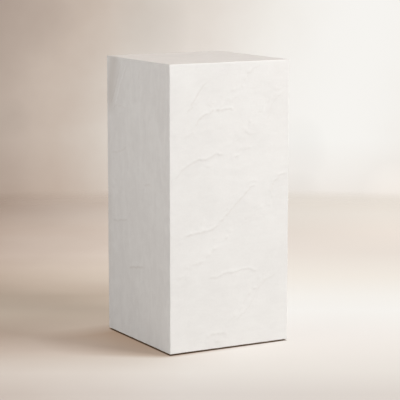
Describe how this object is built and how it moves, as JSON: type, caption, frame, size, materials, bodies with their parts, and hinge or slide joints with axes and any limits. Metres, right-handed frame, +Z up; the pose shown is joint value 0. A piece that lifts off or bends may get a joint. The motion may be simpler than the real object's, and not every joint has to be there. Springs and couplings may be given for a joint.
{
  "type": "pedestal",
  "caption": "Square closed plinth with a flat top, coated in hand-trowelled white plaster, on levelling feet that screw in.",
  "frame": {"origin": "on the floor, under the middle of the square plan", "axes": "+Z up; the front wall, which covers the ends of the side walls, faces -Y; +X to its right"},
  "size_m": [0.36, 0.36, 0.762],
  "materials": {
    "plaster": "matte",
    "fibreboard": "matte",
    "pine": "matte",
    "beech": "matte",
    "zinc_steel": "satin",
    "nylon": "matte"
  },
  "bodies": {
    "root": {"back_panel": "fibreboard", "base_screws": "zinc_steel", "bottom_cleat_back": "pine", "bottom_cleat_front": "pine", "bottom_cleat_left": "pine", "bottom_cleat_right": "pine", "bottom_panel": "fibreboard", "brace_screws": "zinc_steel", "cleat_screws": "zinc_steel", "corner_post_back_left": "pine", "corner_post_back_right": "pine", "corner_post_front_left": "pine", "corner_post_front_right": "pine", "front_panel": "fibreboard", "left_panel": "fibreboard", "mid_brace": "fibreboard", "plaster_coat": "plaster", "right_panel": "fibreboard", "t_nuts": "zinc_steel", "top_cleat_back": "pine", "top_cleat_front": "pine", "top_cleat_left": "pine", "top_cleat_right": "pine", "top_dowels": "beech", "top_panel": "fibreboard", "top_screws": "zinc_steel", "wall_dowels": "beech"},
    "pad_front_left": {"foot_pad_front_left": "nylon"},
    "bolt_front_left": {"foot_bolt_front_left": "zinc_steel"},
    "pad_front_right": {"foot_pad_front_right": "nylon"},
    "bolt_front_right": {"foot_bolt_front_right": "zinc_steel"},
    "pad_back_left": {"foot_pad_back_left": "nylon"},
    "bolt_back_left": {"foot_bolt_back_left": "zinc_steel"},
    "pad_back_right": {"foot_pad_back_right": "nylon"},
    "bolt_back_right": {"foot_bolt_back_right": "zinc_steel"}
  },
  "joints": [
    {"name": "extend_front_left", "type": "slide", "parent": "root", "child": "pad_front_left", "axis": [0, 0, -1], "range_m": [0, 0.015]},
    {"name": "turn_front_left", "type": "hinge", "parent": "pad_front_left", "child": "bolt_front_left", "pos_m": [-0.128, -0.128, 0.0133], "axis": [0, 0, -1], "range_deg": [0, 4320]},
    {"name": "extend_front_right", "type": "slide", "parent": "root", "child": "pad_front_right", "axis": [0, 0, -1], "range_m": [0, 0.015]},
    {"name": "turn_front_right", "type": "hinge", "parent": "pad_front_right", "child": "bolt_front_right", "pos_m": [0.128, -0.128, 0.0133], "axis": [0, 0, -1], "range_deg": [0, 4320]},
    {"name": "extend_back_left", "type": "slide", "parent": "root", "child": "pad_back_left", "axis": [0, 0, -1], "range_m": [0, 0.015]},
    {"name": "turn_back_left", "type": "hinge", "parent": "pad_back_left", "child": "bolt_back_left", "pos_m": [-0.128, 0.128, 0.0133], "axis": [0, 0, -1], "range_deg": [0, 4320]},
    {"name": "extend_back_right", "type": "slide", "parent": "root", "child": "pad_back_right", "axis": [0, 0, -1], "range_m": [0, 0.015]},
    {"name": "turn_back_right", "type": "hinge", "parent": "pad_back_right", "child": "bolt_back_right", "pos_m": [0.128, 0.128, 0.0133], "axis": [0, 0, -1], "range_deg": [0, 4320]}
  ],
  "couplings": [
    {"joint": "turn_front_left", "follows": "extend_front_left", "rad_per_m": 5026.5},
    {"joint": "turn_front_right", "follows": "extend_front_right", "rad_per_m": 5026.5},
    {"joint": "turn_back_left", "follows": "extend_back_left", "rad_per_m": 5026.5},
    {"joint": "turn_back_right", "follows": "extend_back_right", "rad_per_m": 5026.5}
  ]
}
